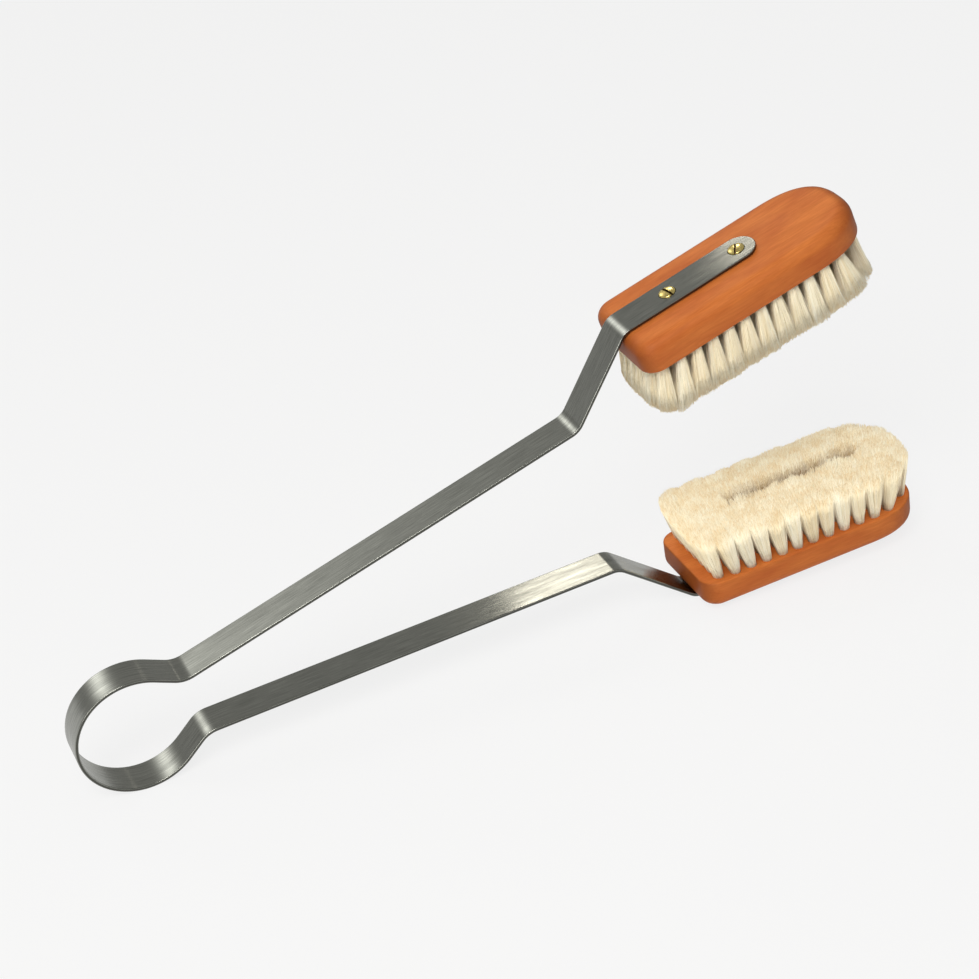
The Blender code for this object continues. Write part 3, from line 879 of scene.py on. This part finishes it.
def makeTuftCores(half):
    # the dense middle of each tuft, inside its hairs: it carries the shadow that the thin hairs don't
    shape = bmesh.new()
    ways = [Vector((math.cos(turn), math.sin(turn))) * core["share"]
            for turn in (2 * math.pi * j / core["sides"] for j in range(core["sides"]))]
    for row in range(tufts["rows"]):
        roots = tuftPlaces(row)
        for i, (x, y) in enumerate(roots):
            (alongTip, acrossTip, _), (halfLength, halfWidth, _) = tipCell(row, x, y, i == len(roots) - 1)
            rings = []
            for up in (-hair["sunk"] / tufts["length"], core["height"]):
                ring = []
                for way in ways:
                    tip = drawnIn(alongTip + halfLength * way.x, acrossTip + halfWidth * way.y)
                    place = (Vector((x, y)) + way * hair["rootSpread"]).lerp(tip, max(up, 0))
                    ring.append(shape.verts.new((*place, faceHeight - up * tufts["length"])))
                rings.append(ring)
            for j in range(core["sides"]):
                shape.faces.new((rings[0][j - 1], rings[0][j], rings[1][j], rings[1][j - 1]))
            shape.faces.new(rings[0])
            shape.faces.new(rings[1])
    bmesh.ops.recalc_face_normals(shape, faces=shape.faces)
    bmesh.ops.transform(shape, matrix=seatPlace[half], verts=shape.verts)
    piece = newPiece(half + "TuftCores", joined([shape], half + "TuftCores"), goatHair)
    # the cores take the dark tan of painted shade
    shade = piece.data.attributes.new("paintedShade", "FLOAT", "POINT").data
    shade.foreach_set("value", [core["shade"]] * len(shade))
    shadeSmooth(piece.data, core["sharpFrom"])
    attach(piece, half + "_half")
    flatten(piece)


goatHair = makeGoatHair()
growHair = hairTree(goatHair)
for half in seatPlace:
    for row in range(tufts["rows"]):
        piece = makeHairRow(half, row, growHair)
    makeTuftCores(half)
    print(half, "hair: last row has", len(piece.data.polygons), "faces")


# Brass: turned screws with domed, slotted heads, bright, with fine marks from use; their slots
# are painted dark, as painted shade in the narrow recess.
def makeBrass():
    brass, tree = newMaterial("polished brass")
    place = addNode(tree, "ShaderNodeTexCoord").outputs["Object"]
    marks = noise(tree, place, (0.9 * mm, 0.9 * mm, 0.9 * mm), 4.0)
    bright = mixed(tree, marks, "#cdb35c", "#efdc95")
    coat(tree, {
        # the slots take a dark colour: painted shade
        "Base Color": mixed(tree, attribute(tree, "slotShadeMask"), bright, "#5a4620"),
        "Metallic": 1.0,
        "Roughness": ranged(tree, marks, 0.35, 0.65, 0.14, 0.3),
    })
    return brass


def screwValues(half):
    slotHeight = 4 * screw["domeHeight"]  # well clear of the head
    rear, front = (math.radians(turn) for turn in screw["slotTurns"][half])
    return {
        "slot": (2 * screw["headWidth"], screw["slotWidth"], slotHeight),
        "slotMiddle": (0.0, 0.0, screw["domeHeight"] - screw["slotDepth"] + slotHeight / 2),
        "rearHole": (screwPlaces["rear"], 0.0, strip["thickness"]),
        "toFront": (screwPlaces["front"] - screwPlaces["rear"], 0.0, 0.0),
        "rearTurn": rear,
        "extraTurn": front - rear,
    }


def screwTree(material):
    # The mesh is one turned screw, upright at the origin. It gets its slot, then stands at both
    # holes of the tab, each slot turned its own way.
    tree, given = newTree("slotted screws", screwValues("upper"))
    bar = addNode(tree, "GeometryNodeMeshCube", {"Size": given["slot"]})
    raised = addNode(tree, "GeometryNodeTransform", {"Geometry": bar, "Translation": given["slotMiddle"]})
    # faces cut by the slot bar are marked for painted shade
    bright = withAttribute(tree, given["Geometry"], "slotShadeMask", 0.0, domain="FACE")
    shadedSlot = withAttribute(tree, raised, "slotShadeMask", 1.0, domain="FACE")
    slotted = addNode(tree, "GeometryNodeMeshBoolean", {"Mesh 1": bright, "Mesh 2": shadedSlot},
                      operation="DIFFERENCE")
    holes = addNode(tree, "GeometryNodeMeshLine", {"Count": 2, "Start Location": given["rearHole"],
                                                   "Offset": given["toFront"]})
    order = addNode(tree, "GeometryNodeInputIndex")
    turn = maths(tree, "MULTIPLY_ADD", order, given["extraTurn"], given["rearTurn"])
    rotation = addNode(tree, "ShaderNodeCombineXYZ", {"Z": turn})
    placed = addNode(tree, "GeometryNodeInstanceOnPoints",
                     {"Points": holes, "Instance": slotted, "Rotation": rotation})
    return endTree(tree, addNode(tree, "GeometryNodeRealizeInstances", {"Geometry": placed}), material)


def makeScrews(half, brass, tree):
    head, shank = screw["headWidth"] / 2, screw["shankWidth"] / 2
    rim, rise = screw["rimHeight"], screw["domeHeight"] - screw["rimHeight"]
    profile = [(head * math.sin(a), rim + rise * math.cos(a)) for a in quarterTurn(screw["domeSteps"])]
    profile += [(head, 0), (shank, shank - head), (shank, screw["pointLength"] - screw["length"]),
                (0, -screw["length"])]
    one = joined([turned(profile, screw["sides"], Matrix())], "screw")
    mesh = grownMesh(one, tree, screwValues(half), brass, half + "Screws")
    mesh.transform(seatPlace[half])
    piece = newPiece(half + "Screws", mesh, brass)
    shadeSmooth(piece.data, screw["sharpFrom"])
    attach(piece, half + "_half")
    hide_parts(half + "_rear_screw", half + "_front_screw")
    return piece


brass = makeBrass()
standScrews = screwTree(brass)
for half in seatPlace:
    piece = makeScrews(half, brass, standScrews)
    print(piece.name + ":", len(piece.data.polygons), "faces")


# Floor, lights and camera

studio = {
    "backdrop": "#f6f6f6",
    "floorSize": 12.0,
    "shadowShare": 0.13,          # how much of the floor's own light and shade shows
    "room": "#aaaaa8",
    "windowWay": (-0.33, 0.783, 0.527),
    "windowStrength": 10.0,       # times the room's own light, at its middle
    "windowSpread": 6.8,          # degrees
    "horizon": (-0.01, 0.09),     # from the backdrop to the room, as heights of a way of length 1
}


def makeFloor():
    # seen directly, mirrored or through glass it has its plain colour and a share of its shade
    size = studio["floorSize"] / 2
    mesh = bpy.data.meshes.new("floor")
    corners = [(-size, -size, 0), (size, -size, 0), (size, size, 0), (-size, size, 0)]
    mesh.from_pydata(corners, [], [(0, 1, 2, 3)])
    paper, tree = newMaterial("pale paper")
    path = addNode(tree, "ShaderNodeLightPath").outputs
    seen = path["Is Camera Ray"]
    for ray in ("Is Glossy Ray", "Is Transmission Ray"):
        seen = maths(tree, "MAXIMUM", seen, path[ray])
    share = maths(tree, "MULTIPLY", seen, 1 - studio["shadowShare"])
    matt = addNode(tree, "ShaderNodeBsdfDiffuse", {"Color": linear(studio["backdrop"])})
    plain = addNode(tree, "ShaderNodeEmission", {"Color": linear(studio["backdrop"])})
    both = addNode(tree, "ShaderNodeMixShader", {0: share, 1: matt, 2: plain})
    addNode(tree, "ShaderNodeOutputMaterial", {"Surface": both})
    newPiece("floor", mesh, paper)


def makeWorld():
    # a pale backdrop at the horizon, a light grey room over it, and a far window behind the left end
    world = bpy.data.worlds.new("studio")
    world.use_nodes = True
    tree = world.node_tree
    tree.nodes.clear()
    way = addNode(tree, "ShaderNodeTexCoord").outputs["Generated"]
    up = addNode(tree, "ShaderNodeSeparateXYZ", {"Vector": way}).outputs["Z"]
    colour = mixed(tree, ranged(tree, up, *studio["horizon"], interpolation_type="SMOOTHSTEP"),
                   studio["backdrop"], studio["room"])
    toWindow = vectors(tree, "DOT_PRODUCT", way, Vector(studio["windowWay"]).normalized())
    # it fades from its middle as a soft blur does
    sharpness = 1 / math.radians(studio["windowSpread"]) ** 2
    glow = maths(tree, "EXPONENT", maths(tree, "MULTIPLY_ADD", toWindow, sharpness, -sharpness))
    strength = maths(tree, "MULTIPLY_ADD", glow, studio["windowStrength"] - 1, 1.0)
    light = addNode(tree, "ShaderNodeBackground", {"Color": colour, "Strength": strength})
    # the camera sees the plain backdrop all round
    plain = addNode(tree, "ShaderNodeBackground", {"Color": linear(studio["backdrop"])})
    seen = addNode(tree, "ShaderNodeLightPath").outputs["Is Camera Ray"]
    shown = addNode(tree, "ShaderNodeMixShader", {0: seen, 1: light, 2: plain})
    addNode(tree, "ShaderNodeOutputWorld", {"Surface": shown})
    bpy.context.scene.world = world


# softboxes: place, aim, width and height in metres, spread in degrees (the last has a grid),
# power in watts, colour
softboxes = {
    "key": ((-0.7, -0.85, 1.4), (0.0, 0.0, 0.05), 0.9, 0.9, 180, 21, "#fffdfa"),
    "front fill": ((-0.8, -1.25, 0.18), (0.06, 0.0, 0.08), 0.8, 0.5, 180, 4.4, "#fffdfa"),
    "back right": ((0.228, 0.525, 0.50), (0.08, 0.0, 0.08), 0.115, 0.11, 32, 0.0137, "#fff8ec"),
}


def makeLights():
    for name, (place, aim, width, height, spread, power, colour) in softboxes.items():
        lamp = bpy.data.lights.new(name, "AREA")
        lamp.shape = "RECTANGLE"
        lamp.size = width
        lamp.size_y = height
        lamp.spread = math.radians(spread)
        lamp.energy = power
        lamp.color = linear(colour)[:3]
        holder = bpy.data.objects.new(name, lamp)
        holder.location = place
        holder.rotation_euler = (Vector(aim) - Vector(place)).to_track_quat("-Z", "Y").to_euler()
        bpy.context.scene.collection.objects.link(holder)


view = {
    "place": Vector((-289.5, -758.7, 605.0)) * mm,
    "azimuth": math.radians(-20.66),
    "elevation": math.radians(32.72),
    "roll": math.radians(-6.43),
    "lens": 85.3,                 # and the sensor's width, both in millimetres
    "sensor": 36,
    "clipStart": 10 * mm,
}


def makeCamera():
    azimuth, elevation = view["azimuth"], view["elevation"]
    back = Vector((math.sin(azimuth) * math.cos(elevation), -math.cos(azimuth) * math.cos(elevation),
                   math.sin(elevation)))
    right = Vector((0, 0, 1)).cross(back).normalized()
    rollTurn = Matrix.Rotation(view["roll"], 3, back)
    right = rollTurn @ right
    up = back.cross(right)
    camera = bpy.data.objects.new("camera", bpy.data.cameras.new("camera"))
    camera.data.lens = view["lens"]
    camera.data.sensor_width = view["sensor"]
    camera.data.clip_start = view["clipStart"]
    axes = Matrix((right, up, back)).transposed().to_4x4()
    camera.matrix_world = Matrix.Translation(view["place"]) @ axes
    bpy.context.scene.collection.objects.link(camera)
    bpy.context.scene.camera = camera


makeFloor()
makeWorld()
makeLights()
makeCamera()
bpy.context.scene.view_settings.view_transform = "Standard"
print("studio ready")
